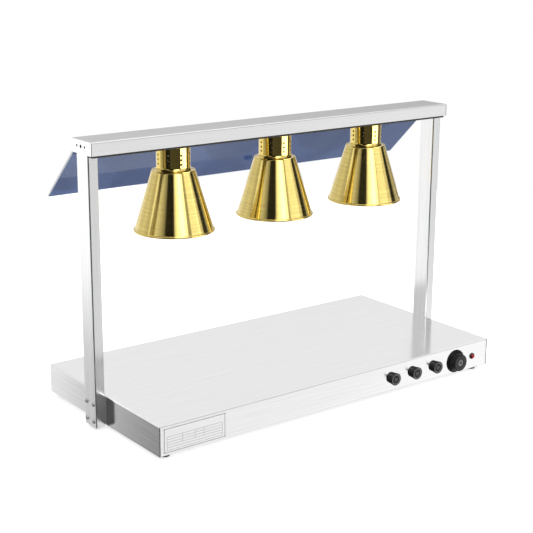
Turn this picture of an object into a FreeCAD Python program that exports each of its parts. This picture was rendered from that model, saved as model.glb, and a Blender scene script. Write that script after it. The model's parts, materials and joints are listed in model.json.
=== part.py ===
import FreeCAD, Part
import math
import os

# Countertop heat lamp warmer: a heated base plate, two posts, a beam with three
# heat lamps and a sloping sneeze guard.  Millimetres.
# +X runs along the beam to the operator's right, -Y faces the operator and the
# controls, +Z is up.  The origin is on the counter under the middle of the unit.

V = FreeCAD.Vector

# ---- heated base ----
BASE_W = 1000.0            # along X
BASE_D = 490.0             # along Y
BASE_TOP = 82.0            # food surface above the counter
SHEET = 1.5                # stainless sheet of the base
BEND_R = 2.5               # outside radius of the base's folded edges
SEAM = 0.2                 # gap at a butted seam
PANEL_TOP_FLANGE = 20.0
PANEL_SIDE_FLANGE = 15.0

# ---- feet ----
FOOT_H = 12.0
FOOT_R = 13.5
FOOT_X = 471.0
FOOT_Y = 218.0
FOOT_SEAT = 5.5            # height of the bolt head's seat inside a foot
BRACKET_T = 3.0
BRACKET_FOOT = 39.0        # reach of a corner bracket along X
BRACKET_IN = 206.0         # a corner bracket runs from here ...
BRACKET_OUT = 229.0        # ... to here, each side of the middle
BOSS_H = 8.0

# ---- heater pack under the food surface ----
HEATER_HALF_X = 440.0
HEATER_FRONT = -175.0
HEATER_REAR = 205.0
MAT_T = 3.0
BLANKET_T = 20.0
CLAMP_XS = (-300.0, 0.0, 300.0)
CLAMP_FRONT = -195.0
CLAMP_REAR = 225.0
CLAMP_W = 30.0
CLAMP_T = 3.0
STUD_LEN = 34.0

# ---- controls on the front panel ----
DIMMER_XS = (162.0, 233.0, 304.0)
DIMMER_Z = 50.0
THERMO_X = 383.0
THERMO_Z = 45.5
PILOT_X = 446.5
PILOT_Z = 45.0
PILOT_R = 6.5
BUSH_R = 5.0               # M10 control bushing and lamp nipple
BUSH_LEN = 6.5             # bushing in front of the panel
SHAFT_R = 3.0
SHAFT_FLAT = 1.5           # height of the shaft's D flat above its axis
RUNNING = 0.05             # radial clearance of every shaft and bolt
KNOB_FRONT = 23.0          # knob faces in front of the panel, and the gland's reach behind the back
KNOB_GAP = 1.0
SHAFT_LEN = 17.0           # shaft end in front of the panel
PLATE_X0 = -491.0
PLATE_X1 = -327.0
PLATE_Z0 = 18.0
PLATE_Z1 = 74.0
PLATE_T = 0.4

# ---- supply gland at the back ----
GLAND_X = 380.0
GLAND_Z = 46.0
GLAND_R = 10.0
GLAND_BORE = 4.5

# ---- posts ----
POST_X = 25.0              # tube size along X
POST_D = 50.0              # tube size along Y
POST_WALL = 1.5
POST_Y = 7.0
POST_BOTTOM = 8.0
POST_TOP = 641.0
POST_BOLT_DY = 15.5
POST_BOLT_ZS = (22.0, 63.0)
CABLE_HOLE_Z = 46.0
BACKING_T = 3.0

# ---- beam ----
BEAM_HALF = 525.0          # half length of the folded cover
CAP_T = 1.5
BEAM_Y = 9.0
BEAM_D = 90.0
BEAM_Z0 = 632.0
BEAM_Z1 = 662.0
BEAM_SHEET = 1.2
BEAM_BEND = 3.0
BEAM_LIP = 2.0             # return lip along the front bottom edge
BEAM_REAR_UP = 2.0         # how much shorter the cover's back wall is
TRAY_Z0 = 627.0
TRAY_Z1 = 651.0
TRAY_T = 1.5
TRAY_HALF = 520.5

# ---- lamps ----
LAMP_XS = (-290.0, 0.0, 290.0)
LAMP_Y = 11.0
NECK_R = 39.0
NECK_T = 1.0
NECK_FLARE = 7.5
SHADE_TOP = 572.0
SHADE_TOP_R = 50.5
SHADE_RIM = 431.0
SHADE_RIM_R = 94.0
SHADE_T = 1.2
BEAD_R = 3.0
HOLE_ROWS = (589.0, 599.3, 609.6)
HOLE_COLUMNS = 8
HOLE_R = 2.8
HOLE_TURN = -4.5           # degrees that the hole columns are turned from straight ahead
HOLDER_R = 22.0
HOLDER_BOTTOM = 576.0
CONTACT_Z = 606.0
BULB_R = 62.5
BULB_BOTTOM = 444.0
GLASS_T = 1.2

# ---- sneeze guard ----
GUARD_HALF = 524.5
GUARD_T = 5.0
GUARD_BEND = 8.0
GUARD_ANGLE = 46.0         # slope from vertical
GUARD_LEN = 166.0          # straight sloping length
GUARD_FLANGE = 657.0       # top of the flange inside the beam
GUARD_SCREW_XS = (-480.0, -200.0, 90.0, 200.0, 480.0)
GUARD_SCREW_Z = 645.0

# ---- fasteners ----
M5_R = 2.5
M5_HOLE = 2.7
M5_HEAD_R = 4.75
M5_HEAD_H = 2.8
M5_NUT_AF = 8.0
M5_NUT_T = 4.0
M6_R = 3.0
M6_HOLE = 3.2
M10_NUT_AF = 14.0
M10_NUT_T = 3.0

# ---- derived places ----
HALF_W = BASE_W / 2
FRONT_Y = -BASE_D / 2
BACK_Y = BASE_D / 2
IN_X = HALF_W - SHEET
IN_BACK = BACK_Y - SHEET
IN_FRONT = FRONT_Y + SHEET
IN_TOP = BASE_TOP - SHEET
PANEL_HALF = IN_X - SEAM
FLOOR_TOP = FOOT_H + SHEET
MAT_Z0 = IN_TOP - MAT_T
BLANKET_Z0 = MAT_Z0 - BLANKET_T
CLAMP_Z0 = BLANKET_Z0 - CLAMP_T
BEAM_FRONT = BEAM_Y - BEAM_D / 2
BEAM_BACK = BEAM_Y + BEAM_D / 2
TRAY_FRONT = BEAM_FRONT + BEAM_SHEET + BEAM_LIP
GUARD_BACK = BEAM_BACK - BEAM_SHEET
GUARD_FACE = GUARD_BACK - GUARD_T
TRAY_BACK = GUARD_FACE
TRAY_FLOOR = TRAY_Z0 + TRAY_T
KNOB_Y = FRONT_Y - KNOB_FRONT
SHAFT_END = FRONT_Y - SHAFT_LEN
POST_BOLT_YS = (POST_Y - POST_BOLT_DY, POST_Y + POST_BOLT_DY)
BRACKET_BOLT_YS = (POST_Y - 10, POST_Y + 10)
BRACKET_BOLT_Z = TRAY_FLOOR + 8.0
BRACKET_BOLT_X = HALF_W - 20


# ---- drawing helpers ----
def box(x0, x1, y0, y1, z0, z1):
    return Part.makeBox(x1 - x0, y1 - y0, z1 - z0, V(x0, y0, z0))


def rod(radius, start, end):
    axis = end.sub(start)
    return Part.makeCylinder(radius, axis.Length, start, axis)


def hexagon(across_flats, start, end):
    """Hexagonal bar from start to end."""
    axis = end.sub(start)
    corner = across_flats / 2 / math.cos(math.pi / 6)
    side = V(0, 0, 1).cross(axis)
    if side.Length < 1e-6:
        side = V(1, 0, 0)
    side.normalize()
    other = V(axis).normalize().cross(side)
    points = []
    for step in range(7):
        angle = step * math.pi / 3
        points.append(start + side * (corner * math.cos(angle)) + other * (corner * math.sin(angle)))
    return Part.Face(Part.makePolygon(points)).extrude(axis)


def face_of(place, start, steps):
    """Closed face.  A step is an end point, or (middle, end) for an arc; place maps (u, v) to space."""
    edges = []
    here = place(*start)
    for step in steps:
        if isinstance(step[0], tuple):
            there = place(*step[1])
            edges.append(Part.Arc(here, place(*step[0]), there).toShape())
        else:
            there = place(*step)
            edges.append(Part.LineSegment(here, there).toShape())
        here = there
    first = place(*start)
    if here.sub(first).Length > 1e-6:
        edges.append(Part.LineSegment(here, first).toShape())
    return Part.Face(Part.Wire(edges))


def turned(x, y, start, steps):
    """Solid of revolution about the vertical through (x, y), from an outline of (radius, height)."""
    solid = face_of(lambda r, z: V(r, 0, z), start, steps).revolve(V(0, 0, 0), V(0, 0, 1), 360)
    return solid.translated(V(x, y, 0))


def turned_y(x, z, start, steps):
    """Solid of revolution about the front-to-back line through (x, z), from (radius, y)."""
    solid = face_of(lambda r, y: V(r, y, 0), start, steps).revolve(V(0, 0, 0), V(0, 1, 0), 360)
    return solid.translated(V(x, 0, z))


def arc_middle(centre, radius, degrees):
    angle = math.radians(degrees)
    return (centre[0] + radius * math.cos(angle), centre[1] + radius * math.sin(angle))


def dome_middle(radius, height, apex):
    """Middle point of the arc from (radius, height) to (0, apex) whose centre is on the axis."""
    rise = abs(height - apex)
    sphere = (radius ** 2 + rise ** 2) / (2 * rise)
    half = math.asin(radius / sphere) / 2
    toward = 1 if height > apex else -1
    return (sphere * math.sin(half), apex + toward * sphere * (1 - math.cos(half)))


def rounded(shape, radius, wanted):
    """Fillet the edges whose middle point satisfies wanted."""
    edges = []
    for edge in shape.Edges:
        if wanted(edge.valueAt((edge.FirstParameter + edge.LastParameter) / 2)):
            edges.append(edge)
    return shape.makeFillet(radius, edges)


def near(value, target):
    return abs(value - target) < 1e-3


def tube_path(points, radius, bend):
    """Round cable through the points, with every corner an arc of the bend radius."""
    edges = []
    here = points[0]
    for index in range(1, len(points) - 1):
        corner = points[index]
        back = points[index - 1].sub(corner).normalize()
        ahead = points[index + 1].sub(corner).normalize()
        turn = math.pi - back.getAngle(ahead)
        reach = bend * math.tan(turn / 2)
        enter = corner + back * reach
        leave = corner + ahead * reach
        inward = V(back + ahead).normalize()
        middle = corner + inward * (bend / math.cos(turn / 2) - bend)
        edges.append(Part.LineSegment(here, enter).toShape())
        edges.append(Part.Arc(enter, middle, leave).toShape())
        here = leave
    edges.append(Part.LineSegment(here, points[-1]).toShape())
    spine = Part.Wire(edges)
    start_dir = points[1].sub(points[0])
    profile = Part.Wire(Part.makeCircle(radius, points[0], start_dir))
    return spine.makePipeShell([profile], True, False)


def slot_cut(x, y, z, length, width, through):
    """Round-ended slot along X, cut in the direction of the vector through."""
    half = length / 2 - width / 2
    side = V(0, 0, width / 2) if abs(through.y) > 0 else V(0, width / 2, 0)
    left = V(x - half, y, z)
    right = V(x + half, y, z)
    bar = Part.Face(Part.makePolygon([left - side, right - side, right + side, left + side, left - side]))
    ends = [rod(width / 2, point, point + through) for point in (left, right)]
    return bar.extrude(through).fuse(ends).removeSplitter()


def save(name, shape):
    if not shape.isValid():
        raise ValueError(name + " is not a valid shape")
    shape.exportStep("parts/%s.step" % name)


# ---- heated base ----
def cover_edges(point, half_w, back, top):
    """True for the folded edges along the top of the ends and the back."""
    return near(point.z, top) and (near(abs(point.x), half_w) or near(point.y, back))


def base_top_cover():
    outer = box(-HALF_W, HALF_W, FRONT_Y, BACK_Y, FOOT_H, BASE_TOP)
    outer = rounded(outer, BEND_R, lambda p: cover_edges(p, HALF_W, BACK_Y, BASE_TOP))
    inner = box(-IN_X, IN_X, FRONT_Y - 10, IN_BACK, FOOT_H - 10, IN_TOP)
    inner = rounded(inner, BEND_R - SHEET, lambda p: cover_edges(p, IN_X, IN_BACK, IN_TOP))
    holes = []
    for side in (-1, 1):
        for y in POST_BOLT_YS:
            for z in POST_BOLT_ZS:
                holes.append(rod(M5_HOLE, V(side * (IN_X - 5), y, z), V(side * (HALF_W + 5), y, z)))
    holes.append(rod(6.0, V(IN_X - 5, LAMP_Y, CABLE_HOLE_Z), V(HALF_W + 5, LAMP_Y, CABLE_HOLE_Z)))
    holes.append(rod(GLAND_R + RUNNING, V(GLAND_X, IN_BACK - 5, GLAND_Z), V(GLAND_X, BACK_Y + 5, GLAND_Z)))
    for column in range(-3, 4):
        for row in range(3):
            holes.append(slot_cut(column * 70.0, IN_BACK - 5, 26.0 + row * 10, 50.0, 4.0, V(0, 20, 0)))
    return outer.cut(inner).cut(holes)


def front_panel():
    depth = FRONT_Y + PANEL_TOP_FLANGE
    outer = box(-PANEL_HALF, PANEL_HALF, FRONT_Y, depth, FOOT_H, IN_TOP)
    outer = rounded(outer, 2.0, lambda p: near(p.y, FRONT_Y) and near(p.x, 0))
    outer = rounded(outer, 1.2, lambda p: near(abs(p.x), PANEL_HALF) and near(p.z, IN_TOP))
    inside = PANEL_HALF - SHEET
    hollow = box(-inside, inside, IN_FRONT, depth + 1, FLOOR_TOP, IN_TOP - SHEET)
    open_back = box(-HALF_W, HALF_W, FRONT_Y + PANEL_SIDE_FLANGE, depth + 1, FOOT_H - 1, IN_TOP - SHEET)
    places = [(x, DIMMER_Z, BUSH_R + RUNNING) for x in DIMMER_XS]
    places.append((THERMO_X, THERMO_Z, BUSH_R + RUNNING))
    places.append((PILOT_X, PILOT_Z, PILOT_R + RUNNING))
    holes = [rod(radius, V(x, FRONT_Y - 5, z), V(x, IN_FRONT + 5, z)) for x, z, radius in places]
    return outer.cut(hollow).cut(open_back).cut(holes)


def bottom_plate():
    front = FRONT_Y + PANEL_SIDE_FLANGE + SEAM
    plate = box(-PANEL_HALF, PANEL_HALF, front, IN_BACK - SEAM, FOOT_H, FLOOR_TOP)
    holes = []
    for sx in (-1, 1):
        for sy in (-1, 1):
            x = sx * FOOT_X
            y = sy * FOOT_Y
            holes.append(rod(M6_HOLE, V(x, y, FOOT_H - 1), V(x, y, FLOOR_TOP + 1)))
    for side in (-1, 1):
        for row in range(8):
            holes.append(slot_cut(side * 230.0, -90.0 + row * 24, FOOT_H - 1, 160.0, 6.0, V(0, 0, 4)))
    return plate.cut(holes)


def corner_brackets():
    pieces = []
    for sx in (-1, 1):
        for sy in (-1, 1):
            ys = sorted((sy * BRACKET_IN, sy * BRACKET_OUT))
            foot_xs = sorted((sx * (IN_X - BRACKET_FOOT), sx * IN_X))
            wall_xs = sorted((sx * (IN_X - BRACKET_T), sx * IN_X))
            top = FLOOR_TOP + BRACKET_T
            foot = box(foot_xs[0], foot_xs[1], ys[0], ys[1], FLOOR_TOP, top)
            wall = box(wall_xs[0], wall_xs[1], ys[0], ys[1], FLOOR_TOP, FLOOR_TOP + 30)
            centre = V(sx * FOOT_X, sy * FOOT_Y, 0)
            boss = rod(6.0, centre + V(0, 0, top), centre + V(0, 0, top + BOSS_H))
            hole = rod(M6_R + RUNNING, centre + V(0, 0, FLOOR_TOP - 1), centre + V(0, 0, top + BOSS_H + 1))
            pieces.append(foot.fuse([wall, boss]).cut(hole).removeSplitter())
    return Part.makeCompound(pieces)


def foot(x, y):
    head_r = 6.6
    rim = 3.0
    sole = FOOT_R - 1.5 - rim
    return turned(x, y, (head_r, 0), [
        (sole, 0), (arc_middle((sole, rim), rim, -45), (sole + rim, rim)), (FOOT_R, FOOT_H),
        (M6_HOLE, FOOT_H), (M6_HOLE, FOOT_SEAT), (head_r, FOOT_SEAT)])


def foot_bolts():
    bolts = []
    for sx in (-1, 1):
        for sy in (-1, 1):
            at = V(sx * FOOT_X, sy * FOOT_Y, 0)
            head = rod(5.5, at + V(0, 0, 1.5), at + V(0, 0, FOOT_SEAT))
            socket = hexagon(5.0, at + V(0, 0, 1.0), at + V(0, 0, 3.8))
            shank = rod(M6_R, at + V(0, 0, FOOT_SEAT), at + V(0, 0, 24.0))
            bolts.append(head.fuse(shank).cut(socket).removeSplitter())
    return Part.makeCompound(bolts)


def clamp_points():
    return [(x, y) for x in CLAMP_XS for y in (CLAMP_FRONT, CLAMP_REAR)]


def heating_mat():
    return box(-HEATER_HALF_X, HEATER_HALF_X, HEATER_FRONT, HEATER_REAR, MAT_Z0, IN_TOP)


def insulation_blanket():
    return box(-HEATER_HALF_X, HEATER_HALF_X, HEATER_FRONT, HEATER_REAR, BLANKET_Z0, MAT_Z0)


def heater_clamp_bars():
    bars = []
    for x in CLAMP_XS:
        bar = box(x - CLAMP_W / 2, x + CLAMP_W / 2, CLAMP_FRONT - 10, CLAMP_REAR + 10, CLAMP_Z0, BLANKET_Z0)
        holes = []
        for y in (CLAMP_FRONT, CLAMP_REAR):
            holes.append(rod(M5_HOLE, V(x, y, CLAMP_Z0 - 1), V(x, y, BLANKET_Z0 + 1)))
        bars.append(bar.cut(holes))
    return Part.makeCompound(bars)


def clamp_studs():
    studs = [rod(M5_R, V(x, y, IN_TOP - STUD_LEN), V(x, y, IN_TOP)) for x, y in clamp_points()]
    return Part.makeCompound(studs)


# ---- controls ----
def control_bore(x, z, depth):
    return rod(SHAFT_R + RUNNING, V(x, FRONT_Y - BUSH_LEN - 1, z), V(x, IN_FRONT + depth, z))


def thermostat_body():
    back = IN_FRONT + 30
    case = box(THERMO_X - 18, THERMO_X + 18, IN_FRONT, back, THERMO_Z - 17, THERMO_Z + 17)
    case = rounded(case, 2.0, lambda p: near(p.y, back))
    bush = rod(BUSH_R, V(THERMO_X, FRONT_Y - BUSH_LEN, THERMO_Z), V(THERMO_X, IN_FRONT, THERMO_Z))
    tabs = []
    for dx in (-12.0, -4.0, 4.0, 12.0):
        x = THERMO_X + dx
        tabs.append(box(x - 0.4, x + 0.4, back, back + 9, THERMO_Z - 12, THERMO_Z - 6))
    return case.fuse([bush] + tabs).cut(control_bore(THERMO_X, THERMO_Z, 18))


def thermostat_capillary():
    bulb_y = HEATER_FRONT - 8
    bulb_z = IN_TOP - 3.2
    bulb = rod(3.0, V(250, bulb_y, bulb_z), V(350, bulb_y, bulb_z))
    down = THERMO_Z + 13
    route = [V(349, bulb_y, bulb_z), V(THERMO_X, bulb_y, bulb_z), V(THERMO_X, bulb_y, down),
             V(THERMO_X, IN_FRONT + 30, down)]
    return bulb.fuse(tube_path(route, 1.0, 6.0)).removeSplitter()


def dimmer_body(x):
    back = IN_FRONT + 12
    can = rod(12.0, V(x, IN_FRONT, DIMMER_Z), V(x, back, DIMMER_Z))
    bush = rod(BUSH_R, V(x, FRONT_Y - BUSH_LEN, DIMMER_Z), V(x, IN_FRONT, DIMMER_Z))
    board = box(x - 17, x + 17, back, back + 2, DIMMER_Z - 20, DIMMER_Z + 14)
    triac = box(x - 5, x + 5, back + 2, back + 7, DIMMER_Z - 18, DIMMER_Z - 3)
    choke = rod(6.0, V(x, back + 2, DIMMER_Z + 5), V(x, back + 12, DIMMER_Z + 5))
    return can.fuse([bush, board, triac, choke]).cut(control_bore(x, DIMMER_Z, 7)).removeSplitter()


def flat_side(x, z, grow):
    """Block above the D flat of a shaft or of a knob's bore."""
    low = z + SHAFT_FLAT + grow
    return box(x - 5, x + 5, SHAFT_END - 1, FRONT_Y - BUSH_LEN - 3, low, low + 10)


def control_shaft(x, z, depth):
    shaft = rod(SHAFT_R, V(x, SHAFT_END, z), V(x, IN_FRONT + depth, z))
    return shaft.cut(flat_side(x, z, 0))


def knob_bore(x, z):
    """Room for the nut and bushing, and the D bore that ends on the shaft's tip."""
    back = FRONT_Y - KNOB_GAP
    room = rod(9.0, V(x, back - 8, z), V(x, back + 1, z))
    bore = rod(SHAFT_R + RUNNING, V(x, SHAFT_END, z), V(x, back, z)).cut(flat_side(x, z, RUNNING))
    return room.fuse(bore)


def ridge_cuts(x, z, count, ring_r, cut_r, y0, y1):
    cuts = []
    for step in range(count):
        angle = 2 * math.pi * step / count
        cx = x + ring_r * math.cos(angle)
        cz = z + ring_r * math.sin(angle)
        cuts.append(rod(cut_r, V(cx, y0, cz), V(cx, y1, cz)))
    return cuts


def lamp_knob(x):
    z = DIMMER_Z
    back = FRONT_Y - KNOB_GAP
    face = KNOB_Y + 1.2
    body = turned_y(x, z, (0, back), [
        (13.4, back), (14.6, KNOB_Y + 8.0), (14.2, KNOB_Y + 7.2), (14.2, KNOB_Y + 6.4),
        (15.0, KNOB_Y + 5.6), (15.5, KNOB_Y + 1.5), ((15.1, KNOB_Y + 0.4), (14.0, KNOB_Y)), (12.6, KNOB_Y),
        (12.0, face), (0, face)])
    pointer = box(x - 0.9, x + 0.9, KNOB_Y + 0.3, face + 0.5, z + 3.0, z + 11.0)
    ridges = ridge_cuts(x, z, 24, 16.3, 1.9, KNOB_Y + 9.5, back - 2.5)
    return body.fuse(pointer).cut(ridges).cut(knob_bore(x, z))


def thermostat_knob():
    x = THERMO_X
    z = THERMO_Z
    back = FRONT_Y - KNOB_GAP
    skirt = back - 4.5
    shoulder = back - 8.0
    face = KNOB_Y + 1.0
    body = turned_y(x, z, (0, back), [
        (29.0, back), (29.5, back - 1.0), (29.5, skirt + 1.5), ((29.1, skirt + 0.4), (28.0, skirt)),
        (26.5, skirt - 0.6), (24.5, shoulder), (22.8, shoulder - 0.6), (21.6, KNOB_Y + 1.8),
        ((21.2, KNOB_Y + 0.5), (20.0, KNOB_Y)), (10.2, KNOB_Y), (9.6, face), (0, face)])
    cap = rod(8.8, V(x, face + 1, z), V(x, KNOB_Y + 0.3, z))
    ridges = ridge_cuts(x, z, 18, 23.9, 2.6, KNOB_Y - 1, shoulder - 0.6)
    slot = box(x - 1.0, x + 1.0, KNOB_Y - 0.5, KNOB_Y + 0.6, z + 11.0, z + 20.5)
    return body.fuse(cap).cut(ridges).cut(slot).cut(knob_bore(x, z))


def pilot_lens():
    brim = (6.3, FRONT_Y - 3.0)
    apex = FRONT_Y - 6.4
    return turned_y(PILOT_X, PILOT_Z, (0, FRONT_Y), [
        (7.9, FRONT_Y), (7.9, FRONT_Y - 1.4), (6.6, FRONT_Y - 2.0), brim,
        (dome_middle(brim[0], brim[1], apex), (0, apex))])


def pilot_body():
    barrel = rod(PILOT_R, V(PILOT_X, FRONT_Y, PILOT_Z), V(PILOT_X, FRONT_Y + 24, PILOT_Z))
    ring = rod(8.2, V(PILOT_X, IN_FRONT, PILOT_Z), V(PILOT_X, IN_FRONT + 2, PILOT_Z))
    tabs = []
    for dz in (-3.0, 3.0):
        tabs.append(box(PILOT_X - 1.5, PILOT_X + 1.5, FRONT_Y + 24, FRONT_Y + 32, PILOT_Z + dz - 0.4,
                        PILOT_Z + dz + 0.4))
    return barrel.fuse([ring] + tabs)


def rating_plate():
    plate = box(PLATE_X0, PLATE_X1, FRONT_Y - PLATE_T, FRONT_Y, PLATE_Z0, PLATE_Z1)
    corner_z = (PLATE_Z0, PLATE_Z1)
    return rounded(plate, 3.0, lambda p: near(p.y, FRONT_Y - PLATE_T / 2) and min(
        abs(p.z - corner_z[0]), abs(p.z - corner_z[1])) < 1e-3)


def terminal_block():
    x0 = 400.0
    y0 = 160.0
    block = box(x0, x0 + 60, y0, y0 + 22, FLOOR_TOP, FLOOR_TOP + 14)
    ridge = box(x0, x0 + 60, y0 + 6, y0 + 16, FLOOR_TOP + 14, FLOOR_TOP + 20)
    cuts = []
    for step in range(5):
        x = x0 + 6 + step * 12
        cuts.append(rod(2.6, V(x, y0 + 11, FLOOR_TOP + 12), V(x, y0 + 11, FLOOR_TOP + 21)))
        cuts.append(box(x - 3.5, x + 3.5, y0 - 1, y0 + 4, FLOOR_TOP + 4, FLOOR_TOP + 10))
    return block.fuse(ridge).cut(cuts)


def cable_gland():
    at = V(GLAND_X, 0, GLAND_Z)
    thread = rod(GLAND_R, at + V(0, IN_BACK - 12, 0), at + V(0, BACK_Y, 0))
    flange = hexagon(24.0, at + V(0, BACK_Y, 0), at + V(0, BACK_Y + 5, 0))
    collar = rod(10.6, at + V(0, BACK_Y + 5, 0), at + V(0, BACK_Y + 7, 0))
    dome_hex = hexagon(24.0, at + V(0, BACK_Y + 7, 0), at + V(0, BACK_Y + 15, 0))
    dome = turned_y(GLAND_X, GLAND_Z, (0, BACK_Y + 15), [
        (11.2, BACK_Y + 15), ((10.0, BACK_Y + 20.1), (6.4, BACK_Y + KNOB_FRONT)), (0, BACK_Y + KNOB_FRONT)])
    bore = rod(GLAND_BORE, at + V(0, IN_BACK - 13, 0), at + V(0, BACK_Y + KNOB_FRONT + 1, 0))
    return thread.fuse([flange, collar, dome_hex, dome]).cut(bore).removeSplitter()


def cable_gland_nut():
    at = V(GLAND_X, 0, GLAND_Z)
    nut = hexagon(26.0, at + V(0, IN_BACK - 5, 0), at + V(0, IN_BACK, 0))
    return nut.cut(rod(GLAND_R + RUNNING, at + V(0, IN_BACK - 6, 0), at + V(0, IN_BACK + 1, 0)))


# ---- posts ----
def post(side):
    xs = sorted((side * HALF_W, side * (HALF_W + POST_X)))
    y0 = POST_Y - POST_D / 2
    y1 = POST_Y + POST_D / 2
    outer = box(xs[0], xs[1], y0, y1, POST_BOTTOM, POST_TOP)
    outer = rounded(outer, 3.0, lambda p: near(p.z, (POST_BOTTOM + POST_TOP) / 2))
    wall = POST_WALL
    inner = box(xs[0] + wall, xs[1] - wall, y0 + wall, y1 - wall, POST_BOTTOM - 1, POST_TOP + 1)
    inner = rounded(inner, 1.5, lambda p: near(p.z, (POST_BOTTOM + POST_TOP) / 2))
    holes = []
    for y in POST_BOLT_YS:
        for z in POST_BOLT_ZS:
            holes.append(rod(M5_HOLE, V(xs[0] - 1, y, z), V(xs[1] + 1, y, z)))
    inward = side * HALF_W
    for y in BRACKET_BOLT_YS:
        holes.append(rod(M5_HOLE, V(inward - side, y, BRACKET_BOLT_Z), V(inward + side * 4, y, BRACKET_BOLT_Z)))
    if side > 0:
        holes.append(rod(6.0, V(inward - 1, LAMP_Y, CABLE_HOLE_Z), V(inward + 4, LAMP_Y, CABLE_HOLE_Z)))
    return outer.cut(inner).cut(holes)


def button_bolt(seat, outward, length):
    """M5 bolt: its button head stands on seat along outward, its shank runs the other way."""
    head = rod(M5_HEAD_R, seat, seat + outward * M5_HEAD_H)
    far = M5_HEAD_H / 2
    rim = [edge for edge in head.Edges if edge.Closed and edge.CenterOfMass.sub(seat).Length > far]
    head = head.makeFillet(1.8, rim)
    socket = hexagon(3.0, seat + outward * (M5_HEAD_H - 1.4), seat + outward * (M5_HEAD_H + 1))
    shank = rod(M5_R, seat - outward * length, seat)
    return head.fuse(shank).cut(socket).removeSplitter()


def hex_nut(across_flats, thickness, hole_r, seat, outward):
    nut = hexagon(across_flats, seat, seat + outward * thickness)
    return nut.cut(rod(hole_r, seat - outward, seat + outward * (thickness + 1)))


def post_bolts():
    bolts = []
    for side in (-1, 1):
        for y in POST_BOLT_YS:
            for z in POST_BOLT_ZS:
                seat = V(side * (HALF_W + POST_X), y, z)
                bolts.append(button_bolt(seat, V(side, 0, 0), 38.0))
    return Part.makeCompound(bolts)


def post_backing_plates():
    plates = []
    for side in (-1, 1):
        xs = sorted((side * (IN_X - BACKING_T), side * IN_X))
        plate = box(xs[0], xs[1], POST_Y - 30, POST_Y + 30, 15.0, 77.0)
        holes = []
        for y in POST_BOLT_YS:
            for z in POST_BOLT_ZS:
                holes.append(rod(M5_HOLE, V(xs[0] - 1, y, z), V(xs[1] + 1, y, z)))
        holes.append(rod(7.0, V(xs[0] - 1, LAMP_Y, CABLE_HOLE_Z), V(xs[1] + 1, LAMP_Y, CABLE_HOLE_Z)))
        plates.append(plate.cut(holes))
    return Part.makeCompound(plates)


def post_plugs():
    plugs = []
    for side in (-1, 1):
        xs = sorted((side * (HALF_W + POST_WALL), side * (HALF_W + POST_X - POST_WALL)))
        y0 = POST_Y - POST_D / 2 + POST_WALL
        y1 = POST_Y + POST_D / 2 - POST_WALL
        plug = box(xs[0], xs[1], y0, y1, POST_BOTTOM, POST_BOTTOM + 10)
        plug = rounded(plug, 1.5, lambda p: near(p.z, POST_BOTTOM + 5))
        cup = box(xs[0] + 2, xs[1] - 2, y0 + 2, y1 - 2, POST_BOTTOM + 2, POST_BOTTOM + 11)
        plugs.append(plug.cut(cup))
    return Part.makeCompound(plugs)


# ---- beam ----
def beam_cover():
    past = BEAM_HALF + 1
    ceiling = BEAM_Z1 - BEAM_SHEET
    outer = box(-BEAM_HALF, BEAM_HALF, BEAM_FRONT, BEAM_BACK, BEAM_Z0, BEAM_Z1)
    outer = rounded(outer, BEAM_BEND, lambda p: near(p.x, 0) and near(p.z, BEAM_Z1))
    inner = box(-past, past, BEAM_FRONT + BEAM_SHEET, GUARD_BACK, BEAM_Z0 - 1, ceiling)
    inner = rounded(inner, BEAM_BEND - BEAM_SHEET, lambda p: near(p.x, 0) and near(p.z, ceiling))
    lip = box(-BEAM_HALF, BEAM_HALF, BEAM_FRONT, TRAY_FRONT, BEAM_Z0, BEAM_Z0 + BEAM_SHEET)
    shell = outer.cut(inner).fuse(lip).removeSplitter()
    shell = rounded(shell, 1.0, lambda p: near(p.x, 0) and near(p.z, BEAM_Z0) and near(p.y, BEAM_FRONT))
    holes = [rod(M5_HOLE, V(x, GUARD_BACK - 5, GUARD_SCREW_Z), V(x, BEAM_BACK + 5, GUARD_SCREW_Z))
             for x in GUARD_SCREW_XS]
    holes.append(box(-past, past, GUARD_BACK - 1, BEAM_BACK + 1, BEAM_Z0 - 1, BEAM_Z0 + BEAM_REAR_UP))
    return shell.cut(holes)


def beam_end_cap(side):
    x_in = side * BEAM_HALF
    xs = sorted((x_in, side * (BEAM_HALF + CAP_T)))
    plate = box(xs[0], xs[1], BEAM_FRONT, BEAM_BACK, BEAM_Z0, BEAM_Z1)
    plate = rounded(plate, BEAM_BEND, lambda p: near(p.x, sum(xs) / 2) and near(p.z, BEAM_Z1))
    tabs = sorted((x_in, side * (BEAM_HALF - 14)))
    ceiling = BEAM_Z1 - BEAM_SHEET
    top_tab = box(tabs[0], tabs[1], BEAM_Y - 28, BEAM_Y + 28, ceiling - CAP_T, ceiling)
    wall = BEAM_FRONT + BEAM_SHEET
    front_tab = box(tabs[0], tabs[1], wall, wall + BEAM_SHEET, BEAM_Z0 + 8, BEAM_Z1 - 8)
    holes = []
    for dy, radius in ((-16.5, 3.0), (0.0, 4.0), (16.5, 3.0)):
        holes.append(rod(radius, V(xs[0] - 1, BEAM_Y + dy, 648.5), V(xs[1] + 1, BEAM_Y + dy, 648.5)))
    return plate.fuse([top_tab, front_tab]).cut(holes)


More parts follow.
